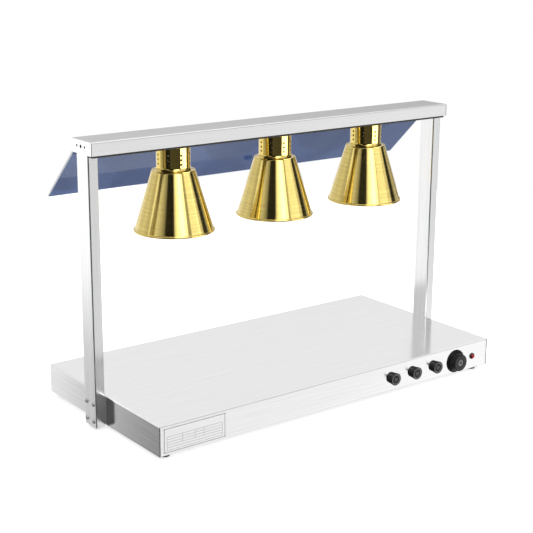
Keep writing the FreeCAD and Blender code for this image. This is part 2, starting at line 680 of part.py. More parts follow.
def lamp_rail():
    outer = box(-TRAY_HALF, TRAY_HALF, TRAY_FRONT, TRAY_BACK, TRAY_Z0, TRAY_Z1)
    outer = rounded(outer, 2.0, lambda p: near(p.x, 0) and near(p.z, TRAY_Z0))
    past = TRAY_HALF + 1
    inner = box(-past, past, TRAY_FRONT + TRAY_T, TRAY_BACK - TRAY_T, TRAY_FLOOR, TRAY_Z1 + 1)
    inner = rounded(inner, 0.5, lambda p: near(p.x, 0) and near(p.z, TRAY_FLOOR))
    cuts = []
    for side in (-1, 1):
        xs = sorted((side * (HALF_W - 0.3), side * past))
        notch = POST_D / 2 + 0.3
        cuts.append(box(xs[0], xs[1], POST_Y - notch, POST_Y + notch, TRAY_Z0 - 1, TRAY_Z1 + 1))
        for y in BRACKET_BOLT_YS:
            x = side * BRACKET_BOLT_X
            cuts.append(rod(M5_HOLE, V(x, y, TRAY_Z0 - 1), V(x, y, TRAY_FLOOR + 1)))
    for x in LAMP_XS:
        cuts.append(rod(BUSH_R + RUNNING, V(x, LAMP_Y, TRAY_Z0 - 1), V(x, LAMP_Y, TRAY_FLOOR + 1)))
    for x in GUARD_SCREW_XS:
        cuts.append(rod(M5_HOLE, V(x, TRAY_BACK - 3, GUARD_SCREW_Z), V(x, TRAY_BACK + 1, GUARD_SCREW_Z)))
    return outer.cut(inner).cut(cuts)


def post_brackets():
    pieces = []
    for side in (-1, 1):
        foot_xs = sorted((side * (HALF_W - 30), side * HALF_W))
        wall_xs = sorted((side * (HALF_W - BRACKET_T), side * HALF_W))
        y0 = POST_Y - 20
        y1 = POST_Y + 20
        foot_plate = box(foot_xs[0], foot_xs[1], y0, y1, TRAY_FLOOR, TRAY_FLOOR + BRACKET_T)
        wall = box(wall_xs[0], wall_xs[1], y0, y1, TRAY_FLOOR, POST_TOP)
        holes = []
        for y in BRACKET_BOLT_YS:
            x = side * BRACKET_BOLT_X
            z = BRACKET_BOLT_Z
            holes.append(rod(M5_HOLE, V(x, y, TRAY_FLOOR - 1), V(x, y, TRAY_FLOOR + BRACKET_T + 1)))
            holes.append(rod(M5_HOLE, V(wall_xs[0] - 1, y, z), V(wall_xs[1] + 1, y, z)))
        pieces.append(foot_plate.fuse(wall).cut(holes).removeSplitter())
    return Part.makeCompound(pieces)


def bracket_bolts():
    bolts = []
    for side in (-1, 1):
        for y in BRACKET_BOLT_YS:
            inner_face = V(side * (HALF_W - BRACKET_T), y, BRACKET_BOLT_Z)
            bolts.append(button_bolt(inner_face, V(-side, 0, 0), 11.0))
            bolts.append(button_bolt(V(side * BRACKET_BOLT_X, y, TRAY_Z0), V(0, 0, -1), 10.5))
    return Part.makeCompound(bolts)


# ---- lamps ----
def lamp_neck(x):
    top = TRAY_Z0
    base = SHADE_TOP
    fillet = (NECK_R + NECK_FLARE, base + NECK_T + NECK_FLARE)
    inner_r = NECK_R - NECK_T
    shell = turned(x, LAMP_Y, (BUSH_R + RUNNING, top), [
        (NECK_R - 1.5, top), (arc_middle((NECK_R - 1.5, top - 1.5), 1.5, 45), (NECK_R, top - 1.5)),
        (NECK_R, fillet[1]), (arc_middle(fillet, NECK_FLARE, 225), (fillet[0], base + NECK_T)),
        (SHADE_TOP_R - 1.0, base + NECK_T), (SHADE_TOP_R - 1.0, base), (fillet[0], base),
        (arc_middle(fillet, NECK_FLARE + NECK_T, 225), (inner_r, fillet[1])),
        (inner_r, top - NECK_T), (BUSH_R + RUNNING, top - NECK_T)])
    holes = []
    for z in HOLE_ROWS:
        for column in range(HOLE_COLUMNS):
            angle = math.radians(-90 + HOLE_TURN + column * 360 / HOLE_COLUMNS)
            start = V(x + 30 * math.cos(angle), LAMP_Y + 30 * math.sin(angle), z)
            end = V(x + 45 * math.cos(angle), LAMP_Y + 45 * math.sin(angle), z)
            holes.append(rod(HOLE_R, start, end))
    return shell.cut(holes)


def lamp_shade(x):
    round_r = 2.6
    corner = SHADE_TOP_R - round_r
    shoulder = SHADE_TOP - round_r
    bead = (SHADE_RIM_R - BEAD_R, SHADE_RIM + BEAD_R)
    cone = turned(x, LAMP_Y, (40.0, SHADE_TOP), [
        (corner, SHADE_TOP), (arc_middle((corner, shoulder), round_r, 45), (SHADE_TOP_R, shoulder)),
        (bead[0] + 0.6, bead[1]), (bead[0] - 0.7, bead[1]), (SHADE_TOP_R - SHADE_T, shoulder),
        (corner, SHADE_TOP - SHADE_T), (40.0, SHADE_TOP - SHADE_T)])
    rolled = Part.makeTorus(bead[0], BEAD_R, V(x, LAMP_Y, bead[1]), V(0, 0, 1))
    return cone.fuse(rolled)


def lamp_holder(x):
    top = TRAY_Z0 - NECK_T
    cavity_r = 13.7
    return turned(x, LAMP_Y, (cavity_r, HOLDER_BOTTOM), [
        (HOLDER_R - 1.5, HOLDER_BOTTOM), (HOLDER_R, HOLDER_BOTTOM + 1.5), (HOLDER_R, HOLDER_BOTTOM + 20),
        (HOLDER_R - 2, HOLDER_BOTTOM + 22), (HOLDER_R - 2, top - 12), ((18.0, top - 4.0), (12.0, top)),
        (BUSH_R, top), (BUSH_R, top + 13), (3.2, top + 13), (3.2, CONTACT_Z + 6), (0, CONTACT_Z + 6),
        (0, CONTACT_Z), (cavity_r, CONTACT_Z)])


def bulb_body(x, inset, open_top):
    """Reflector lamp envelope, drawn inset from its outer surface."""
    neck = 12.9 - inset
    front = BULB_BOTTOM + inset
    brim = BULB_R - 5.0 - inset
    brim_z = 464.0 + inset / 2
    return turned(x, LAMP_Y, (0, open_top), [
        (neck, open_top), (neck, HOLDER_BOTTOM - 1), ((16.5 - inset, 566.0), (21.5 - inset, 553.0)),
        (BULB_R - 4.5 - inset, 489.0), ((BULB_R - inset, 477.0), (brim, brim_z)),
        (dome_middle(brim, brim_z, front), (0, front))])


def heat_bulb(x):
    cap_bottom = HOLDER_BOTTOM + 2
    glass = bulb_body(x, 0.0, cap_bottom).cut(bulb_body(x, GLASS_T, cap_bottom + 1))
    cap = turned(x, LAMP_Y, (0, CONTACT_Z), [
        (5.0, CONTACT_Z), (9.0, CONTACT_Z - 3), (13.3, CONTACT_Z - 4), (13.3, cap_bottom),
        (11.4, cap_bottom), (11.4, CONTACT_Z - 6), (0, CONTACT_Z - 6)])
    return Part.makeCompound([glass, cap])


def wiring_harness():
    """Lamp cable: terminal block, right post, beam; one lead drops into each lamp nipple."""
    run = BEAM_Z0 + 18
    post_x = HALF_W + POST_X / 2
    block = V(430, 171, FLOOR_TOP + 20)
    route = [block, V(block.x, block.y, CABLE_HOLE_Z), V(block.x, LAMP_Y, CABLE_HOLE_Z),
             V(post_x, LAMP_Y, CABLE_HOLE_Z), V(post_x, LAMP_Y, run), V(LAMP_XS[0] - 6, LAMP_Y, run)]
    cable = tube_path(route, 3.0, 9.0)
    drops = [rod(2.0, V(x, LAMP_Y, CONTACT_Z + 6), V(x, LAMP_Y, run)) for x in LAMP_XS]
    return cable.fuse(drops).removeSplitter()


# ---- sneeze guard ----
def sneeze_guard():
    centre = (GUARD_BACK + GUARD_BEND, BEAM_Z0 + BEAM_REAR_UP)
    outer_r = GUARD_BEND + GUARD_T
    slope = math.radians(GUARD_ANGLE)
    along = (math.sin(slope) * GUARD_LEN, -math.cos(slope) * GUARD_LEN)
    outer_end = arc_middle(centre, outer_r, 180 + GUARD_ANGLE)
    inner_end = arc_middle(centre, GUARD_BEND, 180 + GUARD_ANGLE)
    half_turn = 180 + GUARD_ANGLE / 2
    face = face_of(lambda y, z: V(-GUARD_HALF, y, z), (GUARD_FACE, GUARD_FLANGE), [
        (GUARD_FACE, centre[1]), (arc_middle(centre, outer_r, half_turn), outer_end),
        (outer_end[0] + along[0], outer_end[1] + along[1]),
        (inner_end[0] + along[0], inner_end[1] + along[1]), inner_end,
        (arc_middle(centre, GUARD_BEND, half_turn), (GUARD_BACK, centre[1])),
        (GUARD_BACK, GUARD_FLANGE)])
    sheet = face.extrude(V(2 * GUARD_HALF, 0, 0))
    low = outer_end[1] + along[1] + 8
    sheet = rounded(sheet, 1.2, lambda p: near(p.x, 0) and p.z < low)
    holes = [rod(M5_HOLE, V(x, GUARD_FACE - 1, GUARD_SCREW_Z), V(x, GUARD_BACK + 1, GUARD_SCREW_Z))
             for x in GUARD_SCREW_XS]
    return sheet.cut(holes)


def guard_screws():
    return Part.makeCompound([
        button_bolt(V(x, BEAM_BACK, GUARD_SCREW_Z), V(0, 1, 0), 14.0) for x in GUARD_SCREW_XS])


# ---- nuts ----
def m5_nuts():
    seats = []
    for side in (-1, 1):
        for y in POST_BOLT_YS:
            for z in POST_BOLT_ZS:
                seats.append((V(side * (IN_X - BACKING_T), y, z), V(-side, 0, 0)))
        for y in BRACKET_BOLT_YS:
            seats.append((V(side * (HALF_W + POST_WALL), y, BRACKET_BOLT_Z), V(side, 0, 0)))
            seats.append((V(side * BRACKET_BOLT_X, y, TRAY_FLOOR + BRACKET_T), V(0, 0, 1)))
    for x, y in clamp_points():
        seats.append((V(x, y, CLAMP_Z0), V(0, 0, -1)))
    for x in GUARD_SCREW_XS:
        seats.append((V(x, TRAY_BACK - TRAY_T, GUARD_SCREW_Z), V(0, -1, 0)))
    return Part.makeCompound([hex_nut(M5_NUT_AF, M5_NUT_T, M5_R + RUNNING, at, out) for at, out in seats])


def m10_nuts():
    seats = [(V(x, FRONT_Y, DIMMER_Z), V(0, -1, 0)) for x in DIMMER_XS]
    seats.append((V(THERMO_X, FRONT_Y, THERMO_Z), V(0, -1, 0)))
    seats += [(V(x, LAMP_Y, TRAY_FLOOR), V(0, 0, 1)) for x in LAMP_XS]
    hole = BUSH_R + RUNNING
    return Part.makeCompound([hex_nut(M10_NUT_AF, M10_NUT_T, hole, at, out) for at, out in seats])


def main():
    os.makedirs("parts", exist_ok=True)
    save("base_top_cover", base_top_cover())
    save("front_panel", front_panel())
    save("bottom_plate", bottom_plate())
    save("corner_brackets", corner_brackets())
    for front_or_rear, y in (("front", -FOOT_Y), ("rear", FOOT_Y)):
        save("foot_%s_left" % front_or_rear, foot(-FOOT_X, y))
        save("foot_%s_right" % front_or_rear, foot(FOOT_X, y))
    save("foot_bolts", foot_bolts())
    save("heating_mat", heating_mat())
    save("insulation_blanket", insulation_blanket())
    save("heater_clamp_bars", heater_clamp_bars())
    save("clamp_studs", clamp_studs())
    save("thermostat_body", thermostat_body())
    save("thermostat_shaft", control_shaft(THERMO_X, THERMO_Z, 17))
    save("thermostat_knob", thermostat_knob())
    save("thermostat_capillary", thermostat_capillary())
    for number, x in enumerate(DIMMER_XS, 1):
        save("dimmer_body_%d" % number, dimmer_body(x))
        save("dimmer_shaft_%d" % number, control_shaft(x, DIMMER_Z, 6))
        save("lamp_knob_%d" % number, lamp_knob(x))
    save("pilot_lens", pilot_lens())
    save("pilot_body", pilot_body())
    save("rating_plate", rating_plate())
    save("terminal_block", terminal_block())
    save("cable_gland", cable_gland())
    save("cable_gland_nut", cable_gland_nut())
    save("left_post", post(-1))
    save("right_post", post(1))
    save("post_bolts", post_bolts())
    save("post_backing_plates", post_backing_plates())
    save("post_plugs", post_plugs())
    save("beam_cover", beam_cover())
    save("left_beam_end_cap", beam_end_cap(-1))
    save("right_beam_end_cap", beam_end_cap(1))
    save("lamp_rail", lamp_rail())
    save("post_brackets", post_brackets())
    save("bracket_bolts", bracket_bolts())
    for number, x in enumerate(LAMP_XS, 1):
        save("lamp_neck_%d" % number, lamp_neck(x))
        save("lamp_shade_%d" % number, lamp_shade(x))
        save("lamp_holder_%d" % number, lamp_holder(x))
        save("heat_bulb_%d" % number, heat_bulb(x))
    save("wiring_harness", wiring_harness())
    save("sneeze_guard", sneeze_guard())
    save("guard_screws", guard_screws())
    save("m5_nuts", m5_nuts())
    save("m10_nuts", m10_nuts())


main()
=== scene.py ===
import json
import math

import bpy
from mathutils import Matrix, Vector


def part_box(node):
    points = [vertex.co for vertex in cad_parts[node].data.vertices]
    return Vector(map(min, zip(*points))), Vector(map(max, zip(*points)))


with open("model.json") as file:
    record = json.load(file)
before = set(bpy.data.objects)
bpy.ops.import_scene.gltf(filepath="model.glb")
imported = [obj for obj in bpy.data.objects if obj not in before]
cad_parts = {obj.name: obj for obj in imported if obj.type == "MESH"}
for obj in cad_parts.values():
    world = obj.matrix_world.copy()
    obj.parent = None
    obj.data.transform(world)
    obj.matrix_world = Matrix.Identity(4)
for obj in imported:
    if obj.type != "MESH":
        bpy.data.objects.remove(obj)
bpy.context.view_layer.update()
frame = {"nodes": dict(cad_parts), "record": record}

# Looks of the heat lamp warmer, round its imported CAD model.  Metres.
# +X runs along the beam to the operator's right, -Y faces the operator, +Z is up.

NODES = frame["nodes"]

# ---- camera ----
CAMERA_AT = Vector((-1.8050, -2.3293, 1.1057))
CAMERA_YAW = math.radians(-37.288)
CAMERA_PITCH = math.radians(-15.297)
CAMERA_ROLL = math.radians(0.393)
LENS_MM = 84.08
SENSOR_MM = 36.0

# ---- floor ----
FLOOR_RADIUS = 2.5
FLOOR_STEPS = 128
FLOOR_ALBEDO = 0.86
FLOOR_GLOW = 0.6

# ---- finishes ----
FACING = 0.7             # share of a normal along one axis, over which a face counts as facing that way
BASE_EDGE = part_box("base_top_cover")[1].x - 0.0017   # where the base cover's folded ends start
SEAM_SHADE_TONE = 0.03         # painted shade line along the cut edges, where the sheets meet
FRONT_DULLER = 0.06      # how much rougher the brushed front panels are than the tops
FINE = 1500.0            # brushing lines per metre
GRAIN_DEPTH = 0.000004
GRAIN_SPREAD = 0.04      # how far the brushed steel's roughness drifts either way
FRONT_SKIN = 0.004       # depth of the printed front of a knob
LABEL_INK = 0.09

# Parts that the steel and the gold don't mirror, as the soft studio light hides them there.
MUTED = ["sneeze_guard", "thermostat_knob", "lamp_knob_1", "lamp_knob_2", "lamp_knob_3"]

# Tones on a knob's front, by radius over the knob's largest radius.  On a lamp knob the paler outer ring is a
# painted highlight of its rim; the rest is print.
LAMP_KNOB_PRINT_AND_HIGHLIGHT = [(0.0, 0.05), (0.30, 0.10), (0.36, 0.012), (0.62, 0.012), (0.68, 0.13), (0.86, 0.15), (0.92, 0.01)]
THERMOSTAT_KNOB_PRINT = [(0.0, 0.02), (0.10, 0.02), (0.12, 0.20), (0.28, 0.16), (0.31, 0.01), (0.40, 0.035),
                         (0.62, 0.045), (0.68, 0.01)]


# ---- node helpers ----
def node(tree, kind, inputs=None, **attributes):
    """Add a node.  inputs maps socket names or numbers to values or to other nodes' sockets."""
    made = tree.nodes.new(kind)
    for name, value in attributes.items():
        setattr(made, name, value)
    for name, value in (inputs or {}).items():
        if isinstance(value, bpy.types.NodeSocket):
            tree.links.new(value, made.inputs[name])
        else:
            made.inputs[name].default_value = value
    return made


def maths(tree, operation, a, b=0.0, c=0.0):
    return node(tree, "ShaderNodeMath", {0: a, 1: b, 2: c}, operation=operation).outputs[0]


def grey(value):
    return (value, value, value, 1.0)


def opaque(colour):
    return tuple(colour) + (1.0,)


def scaled(colour, factor):
    """The colour made lighter or darker by factor, with its alpha."""
    return opaque(min(1.0, channel * factor) for channel in colour)


def ramp(tree, factor, stops):
    """Colour ramp from (position, grey value or colour) stops."""
    made = node(tree, "ShaderNodeValToRGB", {"Fac": factor})
    elements = made.color_ramp.elements
    elements.remove(elements[1])
    elements[0].position = stops[0][0]
    for position, _ in stops[1:]:
        elements.new(position)
    for element, (_, value) in zip(elements, stops):
        element.color = grey(value) if isinstance(value, float) else value
    return made.outputs["Color"]


def blended(tree, factor, a, b, how="MIX"):
    made = node(tree, "ShaderNodeMix", {0: factor, 6: a, 7: b}, data_type="RGBA", blend_type=how)
    return made.outputs[2]


def rescaled(tree, value, low, high):
    """Map 0..1 to low..high."""
    return node(tree, "ShaderNodeMapRange", {"Value": value, "To Min": low, "To Max": high}).outputs[0]


def between(tree, value, start, end):
    """0 at start and before it, 1 at end and past it."""
    return node(tree, "ShaderNodeMapRange", {"Value": value, "From Min": start, "From Max": end}).outputs[0]


def own_place(tree):
    """Where the shaded point is, on the object's own coordinates."""
    return node(tree, "ShaderNodeTexCoord").outputs["Object"]


def xyz(tree, vector):
    return node(tree, "ShaderNodeSeparateXYZ", {0: vector}).outputs


def stretched_noise(tree, scales, detail=3.0):
    """Noise on the object's own coordinates, with its own scale along each axis, per metre."""
    place = node(tree, "ShaderNodeMapping", {"Vector": own_place(tree), "Scale": scales}).outputs[0]
    made = node(tree, "ShaderNodeTexNoise", {"Vector": place, "Scale": 1.0, "Detail": detail, "Roughness": 0.6})
    return made.outputs["Fac"]


def bump(tree, height, distance, strength=1.0):
    """Bump from a height of 0..1 that stands for distance metres."""
    inputs = {"Height": height, "Distance": distance, "Strength": strength}
    return node(tree, "ShaderNodeBump", inputs).outputs[0]


def new_material(name, sockets):
    """A material with one Principled shader and its constant sockets."""
    made = bpy.data.materials.new(name)
    made.use_nodes = True
    shader = made.node_tree.nodes["Principled BSDF"]
    for socket, value in sockets.items():
        shader.inputs[socket].default_value = value
    return made, made.node_tree, shader


def drive(tree, shader, **sockets):
    """Link sockets of the shader.  base_color stands for Base Color, and so on."""
    names = {"base_color": "Base Color", "roughness": "Roughness", "normal": "Normal", "tangent": "Tangent"}
    for name, value in sockets.items():
        tree.links.new(value, shader.inputs[names[name]])


# ---- materials ----
def face_normal(tree):
    """How far the face looks along X, Y and Z, either way."""
    parts = xyz(tree, node(tree, "ShaderNodeNewGeometry").outputs["Normal"])
    return [maths(tree, "ABSOLUTE", parts[n]) for n in range(3)]


def seam_shade(tree, on_front):
    """1 on the cut edges that show in front at the ends of the base and of the beam, where a shade line is painted.
    """
    place = xyz(tree, own_place(tree))
    out = maths(tree, "ABSOLUTE", place[0])
    base_end = maths(tree, "MULTIPLY", maths(tree, "GREATER_THAN", out, BASE_EDGE),
                     maths(tree, "LESS_THAN", place[2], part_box("base_top_cover")[1].z))
    beam_end = maths(tree, "GREATER_THAN", out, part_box("beam_cover")[1].x)
    return maths(tree, "MULTIPLY", maths(tree, "MAXIMUM", base_end, beam_end), on_front)


def brushed_sheet(name, tone, roughness):
    """Brushed stainless sheet with its grain along X, and along Y on its ends.  The front is a little duller, and
    its cut edges at the ends get a painted shade line.
    """
    made, tree, shader = new_material(name, {"Metallic": 1.0, "Anisotropic": 0.9})
    nx, ny, nz = face_normal(tree)
    on_end = maths(tree, "GREATER_THAN", nx, FACING)
    on_front = maths(tree, "GREATER_THAN", ny, FACING)
    along = 7.0
    lines = [stretched_noise(tree, (along, FINE, FINE)), stretched_noise(tree, (FINE, along, FINE))]
    broad = [stretched_noise(tree, (1.2, 260.0, 260.0)), stretched_noise(tree, (160.0, 1.6, 160.0))]
    grain = blended(tree, on_end, *lines)
    drift = blended(tree, on_end, *broad)
    shade = blended(tree, rescaled(tree, on_end, 0.16, 0.5), grain, drift)
    across = node(tree, "ShaderNodeCombineXYZ", {1: nz, 2: maths(tree, "SUBTRACT", 1.0, nz)}).outputs[0]
    gloss = rescaled(tree, grain, roughness - GRAIN_SPREAD, roughness + GRAIN_SPREAD)
    metal = ramp(tree, shade, [(0.32, scaled(tone, 0.92)), (0.68, scaled(tone, 1.06))])
    # A painted shade line darkens the front cut edges at the ends of the base and of the beam.
    drive(tree, shader, base_color=blended(tree, seam_shade(tree, on_front), metal, grey(SEAM_SHADE_TONE)),
          roughness=maths(tree, "ADD", gloss, maths(tree, "MULTIPLY", on_front, FRONT_DULLER)),
          normal=bump(tree, grain, GRAIN_DEPTH), tangent=across)
    return made


def brushed_tube(name, tone, roughness):
    """Brushed stainless tube with its grain along Z."""
    made, tree, shader = new_material(name, {"Metallic": 1.0, "Anisotropic": 0.85})
    grain = stretched_noise(tree, (FINE, FINE, 9.0))
    drift = stretched_noise(tree, (110.0, 110.0, 2.0))
    shade = blended(tree, 0.4, grain, drift)
    across = node(tree, "ShaderNodeCombineXYZ", {0: 1.0, 1: 1.0}).outputs[0]
    drive(tree, shader, base_color=ramp(tree, shade, [(0.3, scaled(tone, 0.9)), (0.7, scaled(tone, 1.06))]),
          roughness=rescaled(tree, grain, roughness - GRAIN_SPREAD, roughness + GRAIN_SPREAD),
          normal=bump(tree, grain, GRAIN_DEPTH), tangent=across)
    return made


def spun_gold(name, tone, roughness, anisotropic, line_depth):
    """Gold metal spun round the vertical: fine turning lines, and gloss drawn out across them."""
    made, tree, shader = new_material(name, {"Metallic": 1.0, "Anisotropic": anisotropic,
                                             "Anisotropic Rotation": 0.25})
    lines = stretched_noise(tree, (9.0, 9.0, 1700.0), detail=2.0)
    bands = stretched_noise(tree, (3.0, 3.0, 260.0), detail=2.0)
    shade = blended(tree, 0.45, lines, bands)
    around = node(tree, "ShaderNodeTangent", direction_type="RADIAL", axis="Z").outputs[0]
    drive(tree, shader, base_color=ramp(tree, shade, [(0.3, scaled(tone, 0.74)), (0.7, scaled(tone, 1.10))]),
          roughness=rescaled(tree, bands, roughness - 0.02, roughness + 0.03),
          normal=bump(tree, lines, line_depth), tangent=around)
    return made


def mottled(name, light, dark, roughness, scale, depth, sockets=None):
    """A moulded, cast or coated surface: two close tones, uneven gloss and a fine skin."""
    made, tree, shader = new_material(name, sockets or {})
    skin = stretched_noise(tree, (scale,) * 3, detail=4.0)
    cloud = stretched_noise(tree, (scale / 14.0,) * 3, detail=2.0)
    drive(tree, shader, base_color=ramp(tree, cloud, [(0.3, opaque(dark)), (0.7, opaque(light))]),
          roughness=rescaled(tree, cloud, roughness - 0.06, roughness + 0.06), normal=bump(tree, skin, depth))
    return made


def galvanised(name):
    """Zinc-coated sheet with its flat crystals."""
    made, tree, shader = new_material(name, {"Metallic": 1.0})
    cells = node(tree, "ShaderNodeTexVoronoi", {"Vector": own_place(tree), "Scale": 110.0})
    tone = node(tree, "ShaderNodeSeparateColor", {0: cells.outputs["Color"]}).outputs[0]
    drive(tree, shader, base_color=ramp(tree, tone, [(0.0, grey(0.5)), (1.0, grey(0.68))]),
          roughness=rescaled(tree, tone, 0.3, 0.5), normal=bump(tree, tone, 0.00002, 0.4))
    return made


def woven(name, light, dark, threads, depth, roughness):
    """A plain weave laid in the XY plane, threads per metre."""
    made, tree, shader = new_material(name, {})
    place = xyz(tree, own_place(tree))
    waves = [maths(tree, "SINE", maths(tree, "MULTIPLY", place[n], threads * 2.0 * math.pi)) for n in (0, 1)]
    weave = maths(tree, "MULTIPLY_ADD", maths(tree, "MULTIPLY", *waves), 0.5, 0.5)
    fuzz = stretched_noise(tree, (threads * 0.8,) * 3, detail=4.0)
    height = blended(tree, 0.4, weave, fuzz)
    drive(tree, shader, base_color=ramp(tree, height, [(0.25, opaque(dark)), (0.75, opaque(light))]),
          roughness=rescaled(tree, fuzz, roughness - 0.05, roughness + 0.05), normal=bump(tree, height, depth))
    return made


def smoked_acrylic(name):
    """Blue-grey clear acrylic sheet with faint haze and fine dust.  Its sawn ends are pale."""
    made, tree, shader = new_material(name, {"Transmission Weight": 1.0, "IOR": 1.49})
    haze = stretched_noise(tree, (5.0, 5.0, 5.0))
    dust = stretched_noise(tree, (900.0, 900.0, 900.0), detail=2.0)
    tint = ramp(tree, haze, [(0.3, (0.026, 0.058, 0.172, 1.0)), (0.7, (0.036, 0.072, 0.205, 1.0))])
    on_end = maths(tree, "GREATER_THAN", face_normal(tree)[0], 0.9)
    drive(tree, shader, base_color=blended(tree, on_end, tint, (0.80, 0.86, 0.92, 1.0)),
          roughness=rescaled(tree, dust, 0.0, 0.05))
    return made


def bulb_glass(name):
    """Soda glass, frosted inside, a little uneven."""
    made, tree, shader = new_material(name, {"Transmission Weight": 0.7, "IOR": 1.5})
    cloud = stretched_noise(tree, (40.0, 40.0, 40.0))
    drive(tree, shader, base_color=ramp(tree, cloud, [(0.3, (0.88, 0.87, 0.84, 1.0)), (0.7, grey(0.95))]),
          roughness=rescaled(tree, cloud, 0.25, 0.4))
    return made


def knob_plastic(name, part):
    """Black moulded plastic of one knob.  Its front face has a paler printed hub and a paler ring, which is printed
    on the thermostat knob and a painted highlight of the rim on a lamp knob.
    """
    made, tree, shader = new_material(name, {"Specular IOR Level": 0.14})
    low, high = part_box(part)
    middle = (low + high) / 2
    reach = (high.x - low.x) / 2
    place = xyz(tree, own_place(tree))
    dx = maths(tree, "SUBTRACT", place[0], middle.x)
    dz = maths(tree, "SUBTRACT", place[2], middle.z)
    outward = node(tree, "ShaderNodeCombineXYZ", {0: dx, 1: dz}).outputs[0]
    distance = node(tree, "ShaderNodeVectorMath", {0: outward}, operation="LENGTH").outputs["Value"]
    radius = maths(tree, "DIVIDE", distance, reach)
    skin = stretched_noise(tree, (2600.0,) * 3, detail=4.0)
    cloud = stretched_noise(tree, (180.0,) * 3, detail=2.0)
    stops = LAMP_KNOB_PRINT_AND_HIGHLIGHT if part.startswith("lamp") else THERMOSTAT_KNOB_PRINT
    worn = blended(tree, cloud, grey(0.6), grey(1.0))
    # On a lamp knob the paler outer ring in these tones is a painted highlight of the rim.
    face_tones = blended(tree, 1.0, ramp(tree, radius, stops), worn, "MULTIPLY")
    facing = maths(tree, "LESS_THAN", place[1], low.y + FRONT_SKIN)
    plastic = ramp(tree, cloud, [(0.3, (0.002, 0.002, 0.003, 1.0)), (0.7, (0.006, 0.006, 0.007, 1.0))])
    drive(tree, shader, base_color=blended(tree, facing, plastic, face_tones),
          roughness=rescaled(tree, cloud, 0.30, 0.42), normal=bump(tree, skin, 0.00003))
    return made


def strip(tree, position, middle, half, other, low, high):
    """1 within half of middle, where other is between low and high."""
    near = maths(tree, "LESS_THAN", maths(tree, "ABSOLUTE", maths(tree, "SUBTRACT", position, middle)), half)
    above = maths(tree, "GREATER_THAN", other, low)
    below = maths(tree, "LESS_THAN", other, high)
    return maths(tree, "MULTIPLY", near, maths(tree, "MULTIPLY", above, below))


def label_foil(name):
    """Silver foil label with a thin border and a blank printed table."""
    made, tree, shader = new_material(name, {"Metallic": 0.35})
    low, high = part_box("rating_plate")
    place = xyz(tree, own_place(tree))
    across = between(tree, place[0], low.x, high.x)
    up = between(tree, place[2], low.z, high.z)
    left, right, bottom, top = 0.06, 0.94, 0.10, 0.65   # the table's edges, as shares of the label
    first_row = 0.32                                    # the inner columns start here
    marks = []
    for rule in (bottom, 0.21, first_row, 0.43, 0.54, top):
        marks.append(strip(tree, up, rule, 0.006, across, left, right))
    for rule in (left, 0.30, 0.50, 0.64, right):
        start = bottom if rule in (left, right) else first_row
        marks.append(strip(tree, across, rule, 0.002, up, start, top))
    for rule in (0.02, 0.98):
        marks.append(strip(tree, up, rule, 0.010, across, 0.0, 1.0))
        marks.append(strip(tree, across, rule, 0.004, up, 0.0, 1.0))
    ink = marks[0]
    for mark in marks[1:]:
        ink = maths(tree, "MAXIMUM", ink, mark)
    grain = stretched_noise(tree, (12.0, 12.0, 1400.0))
    paper = ramp(tree, grain, [(0.3, grey(0.66)), (0.7, grey(0.78))])
    drive(tree, shader, base_color=blended(tree, ink, paper, grey(LABEL_INK)),
          roughness=rescaled(tree, grain, 0.32, 0.42))
    return made


def red_lens(name):
    """Deep red moulded lens, darker towards its rim."""
    made, tree, shader = new_material(name, {"Transmission Weight": 0.1, "IOR": 1.49})
    low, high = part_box("pilot_lens")
    middle = (low + high) / 2
    inward = node(tree, "ShaderNodeVectorMath", {0: own_place(tree), 1: (middle.x, low.y, middle.z)},
                  operation="DISTANCE")
    radius = maths(tree, "DIVIDE", inward.outputs["Value"], (high.x - low.x) / 2)
    cloud = stretched_noise(tree, (300.0, 300.0, 300.0))
    red = ramp(tree, radius, [(0.0, (0.46, 0.006, 0.010, 1.0)), (0.5, (0.30, 0.002, 0.004, 1.0)),
                              (0.82, (0.10, 0.001, 0.001, 1.0)), (0.9, (0.02, 0.001, 0.001, 1.0))])
    drive(tree, shader, base_color=red, roughness=rescaled(tree, cloud, 0.08, 0.18))
    return made


